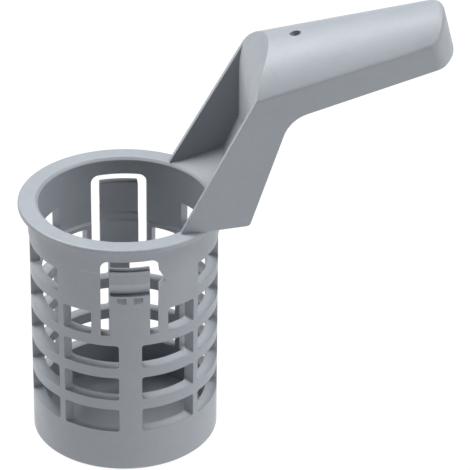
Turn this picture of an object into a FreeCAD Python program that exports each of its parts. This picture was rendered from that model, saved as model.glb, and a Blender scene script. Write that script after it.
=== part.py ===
import FreeCAD, Part
import math
import os
from FreeCAD import Vector

# Coarse filter cup of a dishwasher, moulded in one piece with its lifting handle.
# Millimetres. The base stands on z = 0 and the cup's axis is Z. The handle leans out
# towards +X, and the two sprung latch tongues face -Y and +Y.

# Cup. Its radii build outwards from the bore
BORE_RADIUS = 26.7
MOUTH_STEP = 0.7
CUP_WALL = 3.85
COLLAR_STEP = 0.35
RIM_OVERHANG = 3.1
RIM_THICKNESS = 1.6
RIM_EDGE_BREAK = 0.45
MOUTH_LIP_BREAK = 0.9
BORE_LEDGE_DEPTH = 23.0
COLLAR_DEPTH = 10.3
FLOOR_THICKNESS = 2.7
BASE_EDGE_BREAK = 0.7

# Rows of windows, and the bars between them
ROWS = 5
FIRST_ROW_DEPTH = 12.9
ROW_PITCH = 12.1
WINDOW_HEIGHT = 8.4
WINDOW_CORNER = 0.85
BOTTOM_BAND = 15.0
DIAGONAL_BAR_ANGLE = 45.0
DIAGONAL_BAR_WIDTH = 2.2
SIDE_BAR_WIDTH = 3.8
TONGUE_BAR_WIDTH = 7.4
SHORT_WINDOW_INNER_ANGLE = 23.65
SHORT_ROW = 1
FIRST_TONGUE_ROW = 2

# Latch tongue in its U-shaped slot
SLOT_HALF_WIDTH = 9.25
SLOT_DEPTH = 5.95
SLOT_CORNER = 2.55
TONGUE_HALF_WIDTH = 6.4
TONGUE_DEPTH = 9.55
TONGUE_CORNER = 0.5
TONGUE_THINNING = 0.6
HOOK_FACE_HEIGHT = 4.8
HOOK_UNDERCUT_HEIGHT = 4.35
HOOK_UNDERCUT = 1.6
POCKET_DEPTH_BELOW_RIM = 19.45
POCKET_HEIGHT = 4.9
POCKET_WIDTH = 2.9
POCKET_RECESS = 0.9
POCKET_RIB_WIDTH = 2.4
NICK_REACH = 2.2
NICK_TOP_DEPTH = 9.9
NICK_POINT_DEPTH = 14.3
NICK_BOTTOM_DEPTH = 16.5

# Handle: two tapering side walls under one arched top. Heights are above the rim
WALL = 2.2
WALL_FOOT_ANGLE = 56.5
WALL_FOOT_SETBACK = 2.47
WALL_TAPER = 0.132
CREASE_REACH = 23.4
CREASE_HEIGHT = 43.9
CREASE_SLOPE = 0.248
CREASE_ROUND = 2.0
ARCH_RATIO = 0.47
HEEL_REACH = 21.9
HEEL_RISE = 0.45
HEEL_ROUND = 1.4
HEEL_SLOPE = 0.335
GRIP_SIDE_HEIGHT = 10.1
GRIP_LOWER_SLOPE = 0.266
GRIP_INNER_ROUND = 10.5
GRIP_LENGTH = 64.5
NOSE_BOW = 20.6
NOSE_CORNER = 5.0
HANGING_HOLE_REACH = 14.3
HANGING_HOLE_RADIUS = 1.75

# Web that closes the grip off from the channel, and the ramp at its foot
WEB_BEND_HEIGHT = 19.1
WEB_SLOPE = 0.375
WEB_CURVE_DROP = 8.5
WEB_CURVE_RADIUS = 32.0
RAMP_SLOPE = 0.626

# Room that the cutting solids take beyond the faces that they cut, and what counts as no length
SKIN = 1.0
CLEAR = 5.0
FAR = 140.0
NOTHING = 1e-6

# Sizes that follow from those above
MOUTH_RADIUS = BORE_RADIUS + MOUTH_STEP
BODY_RADIUS = BORE_RADIUS + CUP_WALL
COLLAR_RADIUS = BODY_RADIUS + COLLAR_STEP
RIM_RADIUS = COLLAR_RADIUS + RIM_OVERHANG
RAMP_FOOT_RADIUS = MOUTH_RADIUS + MOUTH_LIP_BREAK
TOTAL_HEIGHT = FIRST_ROW_DEPTH + (ROWS - 1) * ROW_PITCH + WINDOW_HEIGHT + BOTTOM_BAND
WALL_FOOT_RADIUS = MOUTH_RADIUS + WALL_FOOT_SETBACK
WALL_FOOT_X = WALL_FOOT_RADIUS * math.cos(math.radians(WALL_FOOT_ANGLE))
WALL_HALF_WIDTH = WALL_FOOT_RADIUS * math.sin(math.radians(WALL_FOOT_ANGLE))
CREASE_X = WALL_FOOT_X + CREASE_REACH
HEEL_X = WALL_FOOT_X + HEEL_REACH
NOSE_X = CREASE_X + GRIP_LENGTH
HANGING_HOLE_X = CREASE_X + HANGING_HOLE_REACH
WEB_CURVE_HEIGHT = CREASE_HEIGHT - WEB_CURVE_DROP
WEB_X = CREASE_X - WEB_CURVE_RADIUS + math.sqrt(WEB_CURVE_RADIUS ** 2 - WEB_CURVE_DROP ** 2)


def polygon(points):
    """A closed face in the XZ plane, from (x, z) points."""
    corners = [Vector(x, 0, z) for x, z in points]
    return Part.Face(Part.makePolygon(corners + corners[:1]))


def rounded_face(points):
    """A closed face in the XZ plane, from (x, z, corner radius) points."""
    edges = []
    ends = []
    count = len(points)
    for i, (x, z, radius) in enumerate(points):
        corner = Vector(x, 0, z)
        before = Vector(points[i - 1][0], 0, points[i - 1][1]) - corner
        after = Vector(points[(i + 1) % count][0], 0, points[(i + 1) % count][1]) - corner
        before.normalize()
        after.normalize()
        if radius <= 0:
            ends.append((corner, corner))
            continue
        half = before.getAngle(after) / 2
        setback = radius / math.tan(half)
        middle = before + after
        middle.normalize()
        start = corner + before * setback
        end = corner + after * setback
        apex = corner + middle * (radius / math.sin(half) - radius)
        ends.append((start, end))
        edges.append(Part.Arc(start, apex, end).toShape())
    for i in range(count):
        start = ends[i][1]
        end = ends[(i + 1) % count][0]
        if start.distanceToPoint(end) > NOTHING:
            edges.append(Part.makeLine(start, end))
    return Part.Face(Part.Wire(Part.__sortEdges__(edges)))


def broken(points):
    """A closed face in the XZ plane, from (x, z, setback) points with broken corners."""
    outline = []
    for i, (x, z, setback) in enumerate(points):
        corner = Vector(x, 0, z)
        for beside in (points[i - 1], points[(i + 1) % len(points)]):
            way = Vector(beside[0], 0, beside[1]) - corner
            way.normalize()
            place = corner + way * setback
            outline.append((place.x, place.z))
            if setback == 0:
                break
    return polygon(outline)


def across(face, half_width):
    """A face of the XZ plane extruded both ways along Y."""
    solid = face.extrude(Vector(0, 2 * half_width, 0))
    solid.translate(Vector(0, -half_width, 0))
    return solid


def turned(face, angle=360.0):
    """A face of the XZ plane turned about the cup's axis."""
    return face.revolve(Vector(0, 0, 0), Vector(0, 0, 1), angle)


def quadrants(solid):
    """The solid with its mirror images in the XZ and YZ planes."""
    flipped = solid.mirror(Vector(0, 0, 0), Vector(1, 0, 0))
    pair = [solid, flipped]
    return pair + [s.mirror(Vector(0, 0, 0), Vector(0, 1, 0)) for s in pair]


def depth(below_rim):
    """The height of a level given as a depth below the rim's top."""
    return TOTAL_HEIGHT - below_rim


def cup_shell():
    """The cup with its rim, collar, bore ledge and closed floor, as one turned section."""
    section = [
        (0, 0, 0),
        (BODY_RADIUS, 0, BASE_EDGE_BREAK),
        (BODY_RADIUS, depth(COLLAR_DEPTH) - COLLAR_STEP, 0),
        (COLLAR_RADIUS, depth(COLLAR_DEPTH), 0),
        (COLLAR_RADIUS, depth(RIM_THICKNESS), 0),
        (RIM_RADIUS, depth(RIM_THICKNESS), 0),
        (RIM_RADIUS, TOTAL_HEIGHT, RIM_EDGE_BREAK),
        (MOUTH_RADIUS, TOTAL_HEIGHT, MOUTH_LIP_BREAK),
        (MOUTH_RADIUS, depth(BORE_LEDGE_DEPTH), 0),
        (BORE_RADIUS, depth(BORE_LEDGE_DEPTH) - MOUTH_STEP, 0),
        (BORE_RADIUS, FLOOR_THICKNESS, 0),
        (0, FLOOR_THICKNESS, 0),
    ]
    return turned(broken(section))


def bar_angle(width):
    """Half the angle that a bar of this width takes on the cup's outside."""
    return math.degrees(math.asin(width / 2 / BODY_RADIUS))


def window(from_angle, to_angle, row, side_bar=False):
    """One window's cutting solid, between two angles from the +X axis."""
    top = depth(FIRST_ROW_DEPTH + row * ROW_PITCH)
    inside = BORE_RADIUS - CLEAR
    outside = COLLAR_RADIUS + CLEAR
    section = polygon([
        (inside, top - WINDOW_HEIGHT),
        (outside, top - WINDOW_HEIGHT),
        (outside, top),
        (inside, top),
    ])
    cutter = turned(section, to_angle - from_angle)
    cutter.rotate(Vector(0, 0, 0), Vector(0, 0, 1), from_angle)
    if side_bar:
        bar = Part.makeBox(FAR, SIDE_BAR_WIDTH, FAR, Vector(0, -SIDE_BAR_WIDTH / 2, 0))
        cutter = cutter.cut(bar)
    level = [e for e in cutter.Edges
             if isinstance(e.Curve, Part.Line) and abs(e.tangentAt(e.FirstParameter).z) < NOTHING]
    return cutter.makeFillet(WINDOW_CORNER, level)


def windows():
    """Every window of the five rows, left and right of both tongues."""
    diagonal = bar_angle(DIAGONAL_BAR_WIDTH)
    centre = bar_angle(TONGUE_BAR_WIDTH)
    side_end = DIAGONAL_BAR_ANGLE - diagonal
    tongue_start = DIAGONAL_BAR_ANGLE + diagonal
    cutters = []
    for row in range(ROWS):
        cutters += quadrants(window(0, side_end, row, side_bar=True))
        if row == SHORT_ROW:
            cutters += quadrants(window(tongue_start, 90 - SHORT_WINDOW_INNER_ANGLE, row))
        elif row >= FIRST_TONGUE_ROW:
            cutters += quadrants(window(tongue_start, 90 - centre, row))
    return cutters


def slot():
    """The U-shaped slot round one tongue, as a cutting solid at the -Y side."""
    foot = depth(FIRST_ROW_DEPTH + SHORT_ROW * ROW_PITCH + WINDOW_HEIGHT)
    outer = rounded_face([
        (-SLOT_HALF_WIDTH, foot, 0),
        (SLOT_HALF_WIDTH, foot, 0),
        (SLOT_HALF_WIDTH, depth(SLOT_DEPTH), SLOT_CORNER),
        (-SLOT_HALF_WIDTH, depth(SLOT_DEPTH), SLOT_CORNER),
    ])
    inner = rounded_face([
        (-TONGUE_HALF_WIDTH, foot - CLEAR, 0),
        (TONGUE_HALF_WIDTH, foot - CLEAR, 0),
        (TONGUE_HALF_WIDTH, depth(TONGUE_DEPTH), TONGUE_CORNER),
        (-TONGUE_HALF_WIDTH, depth(TONGUE_DEPTH), TONGUE_CORNER),
    ])
    reach = Vector(0, -(COLLAR_RADIUS + CLEAR), 0)
    return outer.cut(inner).extrude(reach)


def nick():
    """The small three-cornered relief at the right edge of the front slot."""
    shape = polygon([
        (SLOT_HALF_WIDTH - NICK_REACH, depth(NICK_TOP_DEPTH) + NICK_REACH),
        (SLOT_HALF_WIDTH, depth(NICK_TOP_DEPTH)),
        (SLOT_HALF_WIDTH + NICK_REACH, depth(NICK_POINT_DEPTH)),
        (SLOT_HALF_WIDTH, depth(NICK_BOTTOM_DEPTH)),
        (SLOT_HALF_WIDTH - NICK_REACH, depth(NICK_BOTTOM_DEPTH)),
    ])
    tongue_side = Part.makeBox(
        SLOT_HALF_WIDTH + TONGUE_HALF_WIDTH, FAR, FAR, Vector(-SLOT_HALF_WIDTH, -FAR, 0))
    return shape.extrude(Vector(0, -(COLLAR_RADIUS + CLEAR), 0)).cut(tongue_side)


def hook_groove():
    """The undercut below the hook's face: it leans in, then a flat ledge runs out."""
    top = depth(TONGUE_DEPTH + HOOK_FACE_HEIGHT)
    foot = top - HOOK_UNDERCUT_HEIGHT
    lean = HOOK_UNDERCUT / HOOK_UNDERCUT_HEIGHT
    section = polygon([
        (BODY_RADIUS + SKIN, top + SKIN / lean),
        (BODY_RADIUS + SKIN, foot),
        (BODY_RADIUS - HOOK_UNDERCUT, foot),
    ])
    ring = turned(section)
    keep = Part.makeBox(
        2 * TONGUE_HALF_WIDTH, FAR, FAR, Vector(-TONGUE_HALF_WIDTH, -FAR, 0))
    return ring.common(keep)


def tongue_thinning():
    """The tongue's inside is set back from the bore, so that it can flex."""
    foot = depth(BORE_LEDGE_DEPTH) + CLEAR / 2
    section = polygon([
        (MOUTH_RADIUS - CLEAR, foot - TONGUE_THINNING),
        (MOUTH_RADIUS, foot - TONGUE_THINNING),
        (MOUTH_RADIUS + TONGUE_THINNING, foot),
        (MOUTH_RADIUS + TONGUE_THINNING, depth(TONGUE_DEPTH) + TONGUE_THINNING),
        (MOUTH_RADIUS - CLEAR, depth(TONGUE_DEPTH) + TONGUE_THINNING),
    ])
    keep = Part.makeBox(
        2 * TONGUE_HALF_WIDTH, FAR, FAR, Vector(-TONGUE_HALF_WIDTH, -FAR, 0))
    return turned(section).common(keep)


def tongue_pockets():
    """Two tapering thumb pockets below the hook, with a rib between them."""
    top = depth(POCKET_DEPTH_BELOW_RIM)
    foot = top - POCKET_HEIGHT
    wedge = Part.Face(Part.makePolygon([
        Vector(0, -BODY_RADIUS + POCKET_RECESS, top),
        Vector(0, -BODY_RADIUS - SKIN, top),
        Vector(0, -BODY_RADIUS - SKIN, foot),
        Vector(0, -BODY_RADIUS + POCKET_RECESS, top),
    ]))
    pocket = wedge.extrude(Vector(POCKET_WIDTH, 0, 0))
    pocket.translate(Vector(POCKET_RIB_WIDTH / 2, 0, 0))
    return [pocket, pocket.mirror(Vector(0, 0, 0), Vector(1, 0, 0))]


def latch_cuts():
    """What is cut to leave both sprung tongues with their hooks."""
    front = [slot(), hook_groove(), tongue_thinning()] + tongue_pockets()
    back = [cutter.mirror(Vector(0, 0, 0), Vector(0, 1, 0)) for cutter in front]
    return front + back + [nick()]


def cup():
    return cup_shell().cut(windows() + latch_cuts())


def half_width(x):
    """The handle's half width at x, on the outside of its side walls."""
    return WALL_HALF_WIDTH - WALL_TAPER * (x - WALL_FOOT_X)


def wall_meets(radius):
    """The x at which a side wall's inside crosses a circle about the cup's axis."""
    inner = WALL_HALF_WIDTH + WALL_TAPER * WALL_FOOT_X - WALL
    square = 1 + WALL_TAPER ** 2
    return (WALL_TAPER * inner + math.sqrt(square * radius ** 2 - inner ** 2)) / square


def crease(x):
    """The height above the rim at which the side walls meet the arched top."""
    return CREASE_HEIGHT + CREASE_SLOPE * (x - CREASE_X)


def arch_cone(inset):
    """The right cone under the arch, set in by a wall: its apex, axis and half angle.

    Crest and creases run together at the apex, and the cone holds all three lines.
    """
    apex_x = WALL_FOOT_X + WALL_HALF_WIDTH / WALL_TAPER
    apex = Vector(apex_x, 0, crease(apex_x))
    crest_line = Vector(-1, 0, ARCH_RATIO * WALL_TAPER - CREASE_SLOPE)
    crease_line = Vector(-1, WALL_TAPER, -CREASE_SLOPE)
    crest_line.normalize()
    crease_line.normalize()
    tilt = math.atan((crest_line.x - crease_line.x) / (crease_line.z - crest_line.z))
    axis = Vector(-math.cos(tilt), 0, -abs(math.sin(tilt)))
    half_angle = axis.getAngle(crest_line)
    return apex + axis * (inset / math.sin(half_angle)), axis, half_angle


def arched_body(inset):
    """The tapering arched body, from before the wall's foot to past the nose."""
    apex, axis, half_angle = arch_cone(inset)
    length = 2 * FAR
    cone = Part.makeCone(0, length * math.tan(half_angle), length, apex, axis)
    above = Part.makeBox(3 * FAR, 2 * FAR, FAR, Vector(-2 * FAR, -FAR, 0))
    above.rotate(Vector(0, 0, 0), Vector(0, 1, 0), math.degrees(math.atan(axis.z / -axis.x)))
    above.translate(apex)
    return between_walls(inset).cut(above.cut(cone))


def nose_cylinder(inset):
    """The bowed end of the grip, square to the grip's slope."""
    grip = Vector(1, 0, GRIP_LOWER_SLOPE)
    grip.normalize()
    upright = Vector(-grip.z, 0, grip.x)
    foot = Vector(NOSE_X, 0, lower_line(NOSE_X))
    radius = NOSE_BOW - inset
    base = foot - grip * NOSE_BOW - upright * FAR
    cylinder = Part.makeCylinder(radius, 2 * FAR, base, upright)
    behind = Part.makeBox(FAR, 2 * FAR, 2 * FAR, Vector(-FAR, -FAR, -FAR))
    behind.rotate(Vector(0, 0, 0), Vector(0, 1, 0), -math.degrees(math.atan(GRIP_LOWER_SLOPE)))
    behind.translate(foot - grip * NOSE_BOW)
    return cylinder.fuse(behind)


def lower_line(x):
    """The height above the rim of the grip's lower edge."""
    return CREASE_HEIGHT - GRIP_SIDE_HEIGHT + GRIP_LOWER_SLOPE * (x - CREASE_X)


def side_outline():
    """The handle seen from the side, without its slanted front and its nose."""
    inner_z = (lower_line(0) + GRIP_LOWER_SLOPE * HEEL_X) / (1 - GRIP_LOWER_SLOPE * HEEL_SLOPE)
    inner_x = HEEL_X + HEEL_SLOPE * inner_z
    return rounded_face([
        (0, 0, 0),
        (wall_meets(RIM_RADIUS), 0, 0),
        (HEEL_X + HEEL_SLOPE * HEEL_RISE, HEEL_RISE, HEEL_ROUND),
        (inner_x, inner_z, GRIP_INNER_ROUND),
        (FAR, lower_line(FAR), 0),
        (FAR, FAR, 0),
        (0, FAR, 0),
    ])


def curve_point(z, inset=0.0):
    """The point of the web's backward curve at a height, on a web set back by inset."""
    reach = WEB_CURVE_RADIUS - inset
    x = WEB_X + WEB_CURVE_RADIUS - math.sqrt(reach ** 2 - (z - WEB_CURVE_HEIGHT) ** 2)
    return Vector(x, 0, z)


def arc_between(low, high, inset=0.0):
    """The web's backward curve between two heights."""
    middle = curve_point((low + high) / 2, inset)
    return Part.Arc(curve_point(low, inset), middle, curve_point(high, inset)).toShape()


def closed_face(edges, points):
    """A face in the XZ plane: an arc, then straight lines through the points."""
    chain = list(edges)
    for start, end in zip(points, points[1:]):
        chain.append(Part.makeLine(start, end))
    return Part.Face(Part.Wire(Part.__sortEdges__(chain)))


def front_cutter():
    """All that lies in front of the slanted wall edges and the leaning front."""
    top = CREASE_HEIGHT + half_width(CREASE_X) * ARCH_RATIO + CLEAR
    corner = curve_point(CREASE_HEIGHT)
    lean = (corner.x - WALL_FOOT_X) / CREASE_HEIGHT
    foot = Vector(WALL_FOOT_X - lean * CLEAR, 0, -CLEAR)
    face = closed_face([arc_between(CREASE_HEIGHT, top)], [
        curve_point(top),
        Vector(-CLEAR, 0, top),
        Vector(-CLEAR, 0, -CLEAR),
        foot,
        corner,
    ])
    return across(face, RIM_RADIUS + CLEAR)


def web_foot(z, inset=0.0):
    """A point of the web's leaning lower part at a height."""
    shift = inset * math.sqrt(1 + WEB_SLOPE ** 2)
    return Vector(WEB_X + shift - WEB_SLOPE * (WEB_BEND_HEIGHT - z), 0, z)


def web_bend(inset=0.0):
    """The corner between the web's leaning and upright parts."""
    shift = inset * math.sqrt(1 + WEB_SLOPE ** 2)
    return Vector(WEB_X + inset, 0, WEB_BEND_HEIGHT - (shift - inset) / WEB_SLOPE)


def between_walls(inset):
    """The upright space between the side walls, set in from their outsides."""
    ends = [0, NOSE_X + CLEAR]
    corners = [Vector(x, side * (half_width(x) - inset), -CLEAR)
               for x, side in ((ends[0], -1), (ends[1], -1), (ends[1], 1), (ends[0], 1))]
    return Part.Face(Part.makePolygon(corners + corners[:1])).extrude(Vector(0, 0, FAR))


def below_ramp(drop, start):
    """The turned space under the conical ramp, lowered by drop, outside a radius."""
    section = polygon([
        (start, -2 * CLEAR),
        (start, (start - RAMP_FOOT_RADIUS) * RAMP_SLOPE - drop),
        (FAR, (FAR - RAMP_FOOT_RADIUS) * RAMP_SLOPE - drop),
        (FAR, -2 * CLEAR),
    ])
    return turned(section)


def channel():
    """The open channel between the walls, in front of the web and above the ramp."""
    face = closed_face([arc_between(WEB_CURVE_HEIGHT, CREASE_HEIGHT)], [
        curve_point(CREASE_HEIGHT),
        Vector(-CLEAR, 0, CREASE_HEIGHT),
        Vector(-CLEAR, 0, -CLEAR),
        web_foot(-CLEAR),
        web_bend(),
        curve_point(WEB_CURVE_HEIGHT),
    ])
    space = across(face, RIM_RADIUS).common(between_walls(WALL))
    return space.cut(below_ramp(0, RAMP_FOOT_RADIUS))


def grip_hollow():
    """The hollow behind the web, open underneath."""
    top = CREASE_HEIGHT + half_width(CREASE_X) * ARCH_RATIO + CLEAR
    face = closed_face([arc_between(WEB_CURVE_HEIGHT, top, WALL)], [
        curve_point(top, WALL),
        Vector(FAR, 0, top),
        Vector(FAR, 0, -CLEAR),
        web_foot(-CLEAR, WALL),
        web_bend(WALL),
        curve_point(WEB_CURVE_HEIGHT, WALL),
    ])
    slab = across(face, RIM_RADIUS)
    return arched_body(WALL).common(slab).common(nose_cylinder(WALL))


def ramp_hollow():
    """The space under the ramp, outside the rim."""
    drop = WALL * math.sqrt(1 + RAMP_SLOPE ** 2)
    return below_ramp(drop, RIM_RADIUS - RIM_EDGE_BREAK).common(between_walls(WALL))


def nose_corners(body):
    """The two upright edges between the side walls and the bowed nose."""
    return [e for e in body.Edges
            if isinstance(e.Curve, Part.Ellipse)
            and min(v.X for v in e.Vertexes) > NOSE_X - NOSE_BOW
            and min(abs(v.Y) for v in e.Vertexes) > NOTHING]


def arch_edges(body):
    """The two long creases and the nose's top edge, all round the arched face."""
    arch = [f for f in body.Faces if isinstance(f.Surface, Part.Cone)]
    return [e for f in arch for e in f.Edges if e.CenterOfMass.x > CREASE_X / 2]


def handle_envelope():
    """The handle's outside, solid: arched body, side outline and bowed nose."""
    body = arched_body(0).common(across(side_outline(), RIM_RADIUS))
    body = body.common(nose_cylinder(0))
    body = body.makeFillet(NOSE_CORNER, nose_corners(body))
    return body.makeFillet(CREASE_ROUND, arch_edges(body))


def handle():
    """The handle with its rim side at z = 0."""
    body = handle_envelope()
    body = body.cut([front_cutter(), channel(), grip_hollow(), ramp_hollow()])
    crest = crease(HANGING_HOLE_X) + ARCH_RATIO * half_width(HANGING_HOLE_X)
    hole = Part.makeCylinder(
        HANGING_HOLE_RADIUS, 4 * CLEAR, Vector(HANGING_HOLE_X, 0, crest - 2 * CLEAR), Vector(0, 0, 1))
    return body.cut(hole)


def filter_basket():
    """The whole moulding as one solid."""
    top = handle()
    top.translate(Vector(0, 0, TOTAL_HEIGHT))
    return cup().fuse(top).removeSplitter()


os.makedirs("parts", exist_ok=True)
shape = filter_basket()
print("solids", len(shape.Solids), "valid", shape.isValid(), "volume", round(shape.Volume, 1))
shape.exportStep("parts/filter_basket.step")
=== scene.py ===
"""A moulded dishwasher filter cup with a lifting handle, in one grey plastic, on a white table."""

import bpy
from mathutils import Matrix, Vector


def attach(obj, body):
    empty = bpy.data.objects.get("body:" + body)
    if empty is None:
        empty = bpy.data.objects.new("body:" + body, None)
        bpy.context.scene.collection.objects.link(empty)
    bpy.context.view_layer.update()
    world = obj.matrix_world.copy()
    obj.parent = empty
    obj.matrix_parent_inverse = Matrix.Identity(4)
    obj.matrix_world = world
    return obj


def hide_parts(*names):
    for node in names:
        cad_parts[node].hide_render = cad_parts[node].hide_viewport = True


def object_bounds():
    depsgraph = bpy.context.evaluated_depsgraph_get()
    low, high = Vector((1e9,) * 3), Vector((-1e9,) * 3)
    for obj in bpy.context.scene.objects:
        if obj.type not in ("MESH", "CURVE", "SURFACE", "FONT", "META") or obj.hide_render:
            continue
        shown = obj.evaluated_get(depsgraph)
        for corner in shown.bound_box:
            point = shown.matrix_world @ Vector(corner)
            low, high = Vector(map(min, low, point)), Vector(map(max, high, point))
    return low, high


bl_info = {
    "name": "Filter Cup Studio",
    "version": (1, 0, 0),
    "blender": (4, 5, 0),
    "location": "View3D > Sidebar > Filter Cup",
    "description": "Dresses the moulded filter cup and sets its table, lamps and camera",
    "category": "Object",
}

import math

import bmesh
import bpy
from mathutils import Matrix, Vector

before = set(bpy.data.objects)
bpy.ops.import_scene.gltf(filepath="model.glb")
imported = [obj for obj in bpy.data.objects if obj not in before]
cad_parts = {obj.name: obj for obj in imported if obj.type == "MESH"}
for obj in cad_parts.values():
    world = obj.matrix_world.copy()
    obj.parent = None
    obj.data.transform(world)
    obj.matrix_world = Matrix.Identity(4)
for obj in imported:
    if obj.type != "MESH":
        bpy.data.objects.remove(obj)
CAD_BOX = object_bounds()
CAD_NODE = "filter_basket"
BODY = "root"
MM = 0.001

# Sizes of the moulding's large turned faces, as the solid has them
UP = Vector((0, 0, 1))
CENTRE = Vector((0, 0, 0))
BODY_RADIUS = 30.55 * MM
COLLAR_RADIUS = 30.9 * MM
RIM_RADIUS = 34.0 * MM
BORE_RADIUS = 26.7 * MM
MOUTH_RADIUS = 27.4 * MM
RIM_HEIGHT = 84.7 * MM
RAMP_FOOT_RADIUS = 28.3 * MM
RAMP_SLOPE = 0.626
ARCH_APEX = Vector((205.185, 0, 169.594)) * MM
ARCH_AXIS = Vector((-0.93937, 0, -0.34291))
ARCH_FLARE = math.tan(math.radians(9.5197))
ARCH_INSET = 13.302 * MM

# Each turned face as a point on its axis, the axis, the radius there and the flare, by which the
# radius grows along the axis. Its facets take their exact normals from these
TURNED_FORMS = (
    (CENTRE, UP, BODY_RADIUS, 0.0),
    (CENTRE, UP, COLLAR_RADIUS, 0.0),
    (CENTRE, UP, RIM_RADIUS, 0.0),
    (CENTRE, UP, BORE_RADIUS, 0.0),
    (CENTRE, UP, MOUTH_RADIUS, 0.0),
    (UP * RIM_HEIGHT, UP, RAMP_FOOT_RADIUS, 1 / RAMP_SLOPE),
    (ARCH_APEX, ARCH_AXIS, 0.0, ARCH_FLARE),
    (ARCH_APEX + ARCH_AXIS * ARCH_INSET, ARCH_AXIS, 0.0, ARCH_FLARE),
)

# A facet belongs to a turned face when its corners lie this near and it turns by less than this
ON_FORM = 0.06 * MM
FORM_TURN = math.cos(math.radians(10))

# Normals are eased over facets, and over the facets of a rounding, that turn by less than these
FACET_TURN = math.cos(math.radians(19))
ROUND_TURN = math.cos(math.radians(50))

# Corners this near are one, edges as flat as this vanish, and edges past this angle are sharp
SAME_PLACE = 0.001 * MM
FLAT_ANGLE = math.radians(0.5)
SHARP_ANGLE = math.radians(30)

# Below this height lies the slotted wall, whose windows keep the crisp edges of the mould
WALL_TOP = 82.5 * MM

# Most of a noise texture's values lie between these, so they are taken for its two ends
NOISE_LOW = 0.3
NOISE_HIGH = 0.7

# Octaves of finer noise in each pattern of the plastic
DRIFT_DETAIL = 3
MOTTLE_DETAIL = 2
SHEEN_DETAIL = 4
GRAIN_DETAIL = 2

# The table reaches this far each way, and lies this far under the cup
TABLE_REACH = 3.0
TABLE_GAP = 0.05 * MM

# The lamps hang round this point, at one distance from it
LAMP_TARGET = Vector((0.03, 0, 0.075))
LAMP_DISTANCE = 1.2

# Each lamp's name, azimuth and elevation in degrees, width in metres, and its power's setting
LAMPS = (
    ("corner_lamp", -135, 60, 0.7, "corner_power"),
    ("right_lamp", 90, 60, 0.7, "right_power"),
    ("front_lamp", 45, 12, 0.35, "front_power"),
    ("left_lamp", -90, 12, 0.35, "left_power"),
)

# The photograph's frame is square, the sensor has its usual width, and the camera sees this far
FRAME_PX = 470
SENSOR_MM = 36.0
CLIP_END = 20


class MouldingProperties(bpy.types.PropertyGroup):
    """Finish of the grey moulding."""

    colour: bpy.props.FloatVectorProperty(
        name="Plastic colour", description="Body colour of the grey plastic",
        subtype="COLOR", size=3, min=0, max=1, default=(0.262, 0.283, 0.309))
    colour_drift: bpy.props.FloatProperty(
        name="Colour drift", description="How far the grey drifts lighter and darker over the moulding",
        min=0, max=0.2, default=0.04)
    drift_size: bpy.props.FloatProperty(
        name="Drift size", description="Size of the slow drift of tone",
        subtype="DISTANCE", min=0.001, max=0.5, default=0.035)
    mottle_size: bpy.props.FloatProperty(
        name="Mottle size", description="Size of the fine mottle of tone",
        subtype="DISTANCE", min=0.0002, max=0.1, default=0.002)
    roughness: bpy.props.FloatProperty(
        name="Roughness", description="Mean roughness of the satin surface",
        min=0, max=1, default=0.48)
    roughness_drift: bpy.props.FloatProperty(
        name="Roughness drift", description="How far the sheen varies over the surface",
        min=0, max=0.5, default=0.06)
    sheen_size: bpy.props.FloatProperty(
        name="Sheen size", description="Size of the patches where the sheen varies",
        subtype="DISTANCE", min=0.001, max=0.1, default=0.008)
    grain_size: bpy.props.FloatProperty(
        name="Grain size", description="Size of the mould's fine spark grain",
        subtype="DISTANCE", min=0.00005, max=0.005, default=0.00045)
    grain_depth: bpy.props.FloatProperty(
        name="Grain depth", description="Depth of the mould's fine spark grain",
        subtype="DISTANCE", min=0, max=0.001, default=0.00002)
    edge_round: bpy.props.FloatProperty(
        name="Edge rounding", description="Radius on the outer edges of the rim and the handle",
        subtype="DISTANCE", min=0, max=0.002, default=0.00022)
    edge_steps: bpy.props.IntProperty(
        name="Edge steps", description="Facets across each rounded edge", min=1, max=4, default=2)


class StudioProperties(bpy.types.PropertyGroup):
    """Table, lamps and camera."""

    corner_power: bpy.props.FloatProperty(
        name="Corner lamp", description="Power of the high soft lamp behind and to the left",
        min=0, max=100, unit="POWER", default=20.5)
    right_power: bpy.props.FloatProperty(
        name="Right lamp", description="Power of the high soft lamp on the right",
        min=0, max=100, unit="POWER", default=13.2)
    front_power: bpy.props.FloatProperty(
        name="Front lamp", description="Power of the low lamp in front and to the right",
        min=0, max=100, unit="POWER", default=2.7)
    left_power: bpy.props.FloatProperty(
        name="Left lamp", description="Power of the low lamp on the left",
        min=0, max=100, unit="POWER", default=1.1)
    table_light: bpy.props.FloatVectorProperty(
        name="Table light", description="Cool light that the white table throws up at the moulding",
        subtype="COLOR", size=3, min=0, max=5, default=(1.34, 1.34, 1.36))
    table_white: bpy.props.FloatProperty(
        name="Table white", description="How bright the plain table looks to the camera",
        min=0, max=5, default=1.02)
    shadow_share: bpy.props.FloatProperty(
        name="Shadow share", description="How much of the shadow the white table shows",
        min=0, max=1, default=0.06)
    azimuth: bpy.props.FloatProperty(
        name="Azimuth", description="Camera's turn about the cup", subtype="ANGLE",
        default=math.radians(-5.987))
    elevation: bpy.props.FloatProperty(
        name="Elevation", description="Camera's height above the horizon", subtype="ANGLE",
        default=math.radians(29.819))
    roll: bpy.props.FloatProperty(
        name="Roll", description="Camera's tilt to one side", subtype="ANGLE",
        default=math.radians(0.804))
    distance: bpy.props.FloatProperty(
        name="Distance", description="From the camera to the point that it looks at",
        subtype="DISTANCE", default=0.9002)
    aim: bpy.props.FloatVectorProperty(
        name="Aim", description="Point at the centre of the picture",
        subtype="TRANSLATION", size=3, default=(0.03617, 0.00018, 0.06934))
    focal_px: bpy.props.FloatProperty(
        name="Focal length in pixels", description="Focal length in the photograph's own pixels",
        default=2769.3)


def link(tree, source, target):
    """Join one node's output socket to another's input socket."""
    tree.links.new(source, target)


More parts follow.
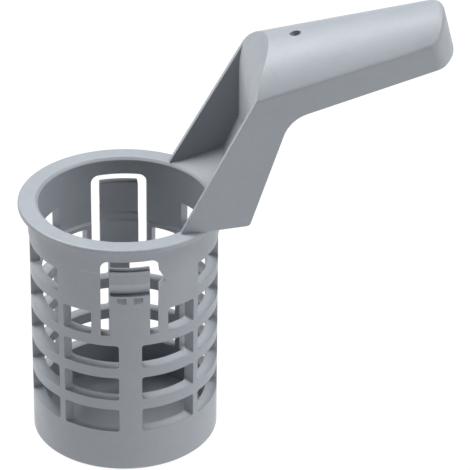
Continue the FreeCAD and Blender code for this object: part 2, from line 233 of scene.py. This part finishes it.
def new_material(name):
    """A material with an empty node tree and its output node."""
    material = bpy.data.materials.new(name)
    material.use_nodes = True
    tree = material.node_tree
    tree.nodes.clear()
    output = tree.nodes.new("ShaderNodeOutputMaterial")
    return material, tree, output


def noise(tree, place, size, detail):
    """A noise texture of one size on the given coordinates."""
    node = tree.nodes.new("ShaderNodeTexNoise")
    node.inputs["Scale"].default_value = 1 / size
    node.inputs["Detail"].default_value = detail
    link(tree, place, node.inputs["Vector"])
    return node.outputs["Fac"]


def mean(tree, first, second):
    """The mean of two noise textures."""
    total = tree.nodes.new("ShaderNodeMath")
    total.operation = "ADD"
    link(tree, first, total.inputs[0])
    link(tree, second, total.inputs[1])
    half = tree.nodes.new("ShaderNodeMath")
    half.operation = "MULTIPLY"
    half.inputs[1].default_value = 0.5
    link(tree, total.outputs[0], half.inputs[0])
    return half.outputs[0]


def spread(tree, factor, low, high):
    """Spread a noise texture's values over a range."""
    node = tree.nodes.new("ShaderNodeMapRange")
    node.inputs["From Min"].default_value = NOISE_LOW
    node.inputs["From Max"].default_value = NOISE_HIGH
    node.inputs["To Min"].default_value = low
    node.inputs["To Max"].default_value = high
    link(tree, factor, node.inputs["Value"])
    return node.outputs["Result"]


def satin_plastic(look):
    """Grey moulded plastic: a drift and mottle of tone, a varied sheen, and the mould's fine grain."""
    material, tree, output = new_material("satin_grey_plastic")
    shader = tree.nodes.new("ShaderNodeBsdfPrincipled")
    place = tree.nodes.new("ShaderNodeTexCoord").outputs["Object"]

    drift = noise(tree, place, look.drift_size, DRIFT_DETAIL)
    mottle = noise(tree, place, look.mottle_size, MOTTLE_DETAIL)
    tone = tree.nodes.new("ShaderNodeMix")
    tone.data_type = "RGBA"
    tone.inputs["A"].default_value = (*[c * (1 - look.colour_drift) for c in look.colour], 1)
    tone.inputs["B"].default_value = (*[c * (1 + look.colour_drift) for c in look.colour], 1)
    link(tree, spread(tree, mean(tree, drift, mottle), 0, 1), tone.inputs["Factor"])
    link(tree, tone.outputs["Result"], shader.inputs["Base Color"])

    sheen = noise(tree, place, look.sheen_size, SHEEN_DETAIL)
    low = look.roughness - look.roughness_drift
    high = look.roughness + look.roughness_drift
    link(tree, spread(tree, sheen, low, high), shader.inputs["Roughness"])

    grain = noise(tree, place, look.grain_size, GRAIN_DETAIL)
    bump = tree.nodes.new("ShaderNodeBump")
    bump.inputs["Distance"].default_value = look.grain_depth
    link(tree, grain, bump.inputs["Height"])
    link(tree, bump.outputs["Normal"], shader.inputs["Normal"])
    link(tree, shader.outputs["BSDF"], output.inputs["Surface"])
    return material


def camera_ray(tree):
    """1 for what the camera sees directly, and 0 for light on its way to the moulding."""
    return tree.nodes.new("ShaderNodeLightPath").outputs["Is Camera Ray"]


def mixed(tree, factor, first, second):
    """One shader at a factor of 0 and the other at 1. The factor is a number or a socket."""
    mix = tree.nodes.new("ShaderNodeMixShader")
    if isinstance(factor, float):
        mix.inputs["Fac"].default_value = factor
    else:
        link(tree, factor, mix.inputs["Fac"])
    link(tree, first, mix.inputs[1])
    link(tree, second, mix.inputs[2])
    return mix.outputs[0]


def emission(tree, light):
    """An even glow, its colour and its strength in one."""
    glow = tree.nodes.new("ShaderNodeEmission")
    glow.inputs["Color"].default_value = (*light, 1)
    return glow.outputs[0]


def white_table(studio):
    """White to the camera, with part of the shadow, and an even light on the moulding from below."""
    material, tree, output = new_material("white_table")
    diffuse = tree.nodes.new("ShaderNodeBsdfDiffuse")
    diffuse.inputs["Color"].default_value = (1, 1, 1, 1)
    white = emission(tree, [studio.table_white] * 3)
    plain = mixed(tree, studio.shadow_share, white, diffuse.outputs[0])
    lit = mixed(tree, camera_ray(tree), emission(tree, studio.table_light), plain)
    link(tree, lit, output.inputs["Surface"])
    return material


def white_tent():
    """World: plain white to the camera, and no light on the moulding."""
    world = bpy.data.worlds.new("white_tent")
    world.use_nodes = True
    tree = world.node_tree
    tree.nodes.clear()
    output = tree.nodes.new("ShaderNodeOutputWorld")
    white = tree.nodes.new("ShaderNodeBackground")
    white.inputs["Color"].default_value = (1, 1, 1, 1)
    link(tree, camera_ray(tree), white.inputs["Strength"])
    link(tree, white.outputs[0], output.inputs["Surface"])
    bpy.context.scene.world = world


def exact_normal(form, place):
    """How far a place lies off a turned form, and the form's outward normal there."""
    point, axis, radius, flare = form
    from_point = place - point
    along = from_point.dot(axis)
    out = from_point - axis * along
    slant = 1 / math.sqrt(1 + flare ** 2)
    return (out.length - radius - flare * along) * slant, (out.normalized() - axis * flare) * slant


def form_of(face):
    """The turned form that a facet belongs to and which side it faces, or None."""
    centre = face.calc_center_median()
    for form in TURNED_FORMS:
        turn = exact_normal(form, centre)[1].dot(face.normal)
        if abs(turn) < FORM_TURN:
            continue
        if all(abs(exact_normal(form, v.co)[0]) < ON_FORM for v in face.verts):
            return form, math.copysign(1, turn)
    return None


def rounded_edge(edge):
    """Whether an edge is a sharp outer one of the rim or the handle."""
    above_wall = all(v.co.z > WALL_TOP for v in edge.verts)
    return above_wall and edge.is_manifold and edge.is_convex and edge.calc_face_angle() > SHARP_ANGLE


def rounded_shell(node, look):
    """The CAD node's mesh joined up, with the sharp edges of its rim and handle rounded."""
    shell = bmesh.new()
    shell.from_mesh(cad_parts[node].data)
    bmesh.ops.remove_doubles(shell, verts=shell.verts, dist=SAME_PLACE)
    bmesh.ops.dissolve_limit(
        shell, angle_limit=FLAT_ANGLE, verts=shell.verts, edges=shell.edges,
        use_dissolve_boundaries=False)
    shell.normal_update()
    made = bmesh.ops.bevel(
        shell, geom=[e for e in shell.edges if rounded_edge(e)], offset=look.edge_round,
        offset_type="OFFSET", segments=look.edge_steps, profile=0.5, affect="EDGES",
        clamp_overlap=False, loop_slide=False)
    shell.normal_update()
    return shell, set(made["faces"])


def corner_normals(shell, rounds):
    """One normal for each face corner: exact on turned forms, true on flats, eased on rounds."""
    forms = {face: form_of(face) for face in shell.faces if face not in rounds}
    normals = []
    for face in shell.faces:
        form = forms.get(face)
        turn = ROUND_TURN if face in rounds else FACET_TURN
        for loop in face.loops:
            if form:
                normals.append(exact_normal(form[0], loop.vert.co)[1] * form[1])
                continue
            total = Vector()
            for other in loop.vert.link_faces:
                if other.normal.dot(face.normal) < turn:
                    continue
                near = forms.get(other)
                normal = exact_normal(near[0], loop.vert.co)[1] * near[1] if near else other.normal
                # Weighted by the square of the area, so that slivers hardly turn the normal
                total += normal * other.calc_area() ** 2
            normals.append(total.normalized() if total.length > 0 else face.normal.copy())
    return normals


def moulded_copy(node, name, look):
    """The visible moulding made from a CAD node."""
    shell, rounds = rounded_shell(node, look)
    normals = corner_normals(shell, rounds)
    mesh = bpy.data.meshes.new(name)
    shell.to_mesh(mesh)
    shell.free()
    mesh.shade_smooth()
    mesh.normals_split_custom_set(normals)
    piece = bpy.data.objects.new(name, mesh)
    bpy.context.scene.collection.objects.link(piece)
    return piece


def direction(azimuth, elevation):
    """Unit vector away from the cup. Azimuth 0 is in front, 90 degrees to the right and 180 behind."""
    level = math.cos(elevation)
    return Vector((math.sin(azimuth) * level, -math.cos(azimuth) * level, math.sin(elevation)))


def soft_lamp(name, azimuth, elevation, size, power):
    """A square soft lamp that faces the target, with its two angles in degrees."""
    out = direction(math.radians(azimuth), math.radians(elevation))
    data = bpy.data.lights.new(name, "AREA")
    data.shape = "SQUARE"
    data.size = size
    data.energy = power
    lamp = bpy.data.objects.new(name, data)
    lamp.location = LAMP_TARGET + out * LAMP_DISTANCE
    lamp.rotation_mode = "QUATERNION"
    lamp.rotation_quaternion = (-out).to_track_quat("-Z", "Y")
    bpy.context.scene.collection.objects.link(lamp)


class FILTERCUP_OT_moulding(bpy.types.Operator):
    """Make the one-piece moulding, with its edges rounded and its satin finish"""

    bl_idname = "filter_cup.moulding"
    bl_label = "Moulding"

    def execute(self, context):
        look = context.scene.filter_moulding
        piece = moulded_copy(CAD_NODE, "moulded_filter_cup", look)
        piece.data.materials.append(satin_plastic(look))
        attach(piece, BODY)
        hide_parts(CAD_NODE)
        return {"FINISHED"}


class FILTERCUP_OT_table(bpy.types.Operator):
    """Lay the plain white table under the cup, and the white tent round it"""

    bl_idname = "filter_cup.table"
    bl_label = "Table and tent"

    def execute(self, context):
        studio = context.scene.filter_studio
        far = TABLE_REACH
        corners = [(-far, -far, 0), (far, -far, 0), (far, far, 0), (-far, far, 0)]
        mesh = bpy.data.meshes.new("table")
        mesh.from_pydata(corners, [], [(0, 1, 2, 3)])
        table = bpy.data.objects.new("table", mesh)
        table.location.z = CAD_BOX[0].z - TABLE_GAP
        mesh.materials.append(white_table(studio))
        context.scene.collection.objects.link(table)
        white_tent()
        return {"FINISHED"}


class FILTERCUP_OT_lamps(bpy.types.Operator):
    """Hang the two high soft lamps and the two low ones"""

    bl_idname = "filter_cup.lamps"
    bl_label = "Lamps"

    def execute(self, context):
        studio = context.scene.filter_studio
        for name, azimuth, elevation, size, power in LAMPS:
            soft_lamp(name, azimuth, elevation, size, getattr(studio, power))
        return {"FINISHED"}


class FILTERCUP_OT_camera(bpy.types.Operator):
    """Set the camera where the photograph was taken from"""

    bl_idname = "filter_cup.camera"
    bl_label = "Camera"

    def execute(self, context):
        studio = context.scene.filter_studio
        back = direction(studio.azimuth, studio.elevation)
        level = Vector((math.cos(studio.azimuth), math.sin(studio.azimuth), 0))
        upright = back.cross(level)
        right = math.cos(studio.roll) * level + math.sin(studio.roll) * upright
        up = -math.sin(studio.roll) * level + math.cos(studio.roll) * upright
        data = bpy.data.cameras.new("camera")
        data.sensor_width = SENSOR_MM
        data.lens = studio.focal_px / FRAME_PX * SENSOR_MM
        data.clip_end = CLIP_END
        camera = bpy.data.objects.new("camera", data)
        turn = Matrix((right, up, back)).transposed().to_4x4()
        camera.matrix_world = Matrix.Translation(Vector(studio.aim) + back * studio.distance) @ turn
        context.scene.collection.objects.link(camera)
        context.scene.camera = camera
        context.scene.view_settings.view_transform = "Standard"
        return {"FINISHED"}


class FILTERCUP_PT_panel(bpy.types.Panel):
    """Sidebar panel with every step and setting"""

    bl_label = "Filter Cup"
    bl_idname = "FILTERCUP_PT_panel"
    bl_space_type = "VIEW_3D"
    bl_region_type = "UI"
    bl_category = "Filter Cup"

    def draw(self, context):
        layout = self.layout
        for step in STEPS:
            layout.operator(step.bl_idname)
        for group in (context.scene.filter_moulding, context.scene.filter_studio):
            box = layout.box()
            for name in group.__annotations__:
                box.prop(group, name)


STEPS = (
    FILTERCUP_OT_moulding,
    FILTERCUP_OT_table,
    FILTERCUP_OT_lamps,
    FILTERCUP_OT_camera,
)
CLASSES = (MouldingProperties, StudioProperties, *STEPS, FILTERCUP_PT_panel)


def register():
    """Add the classes and the scene's two groups of settings."""
    for cls in CLASSES:
        bpy.utils.register_class(cls)
    bpy.types.Scene.filter_moulding = bpy.props.PointerProperty(type=MouldingProperties)
    bpy.types.Scene.filter_studio = bpy.props.PointerProperty(type=StudioProperties)


def unregister():
    """Take them away again."""
    del bpy.types.Scene.filter_studio
    del bpy.types.Scene.filter_moulding
    for cls in reversed(CLASSES):
        bpy.utils.unregister_class(cls)


def main():
    """Build the scene with every step in its order."""
    register()
    bpy.ops.filter_cup.moulding()
    bpy.ops.filter_cup.table()
    bpy.ops.filter_cup.lamps()
    bpy.ops.filter_cup.camera()


if __name__ == "__main__":
    main()
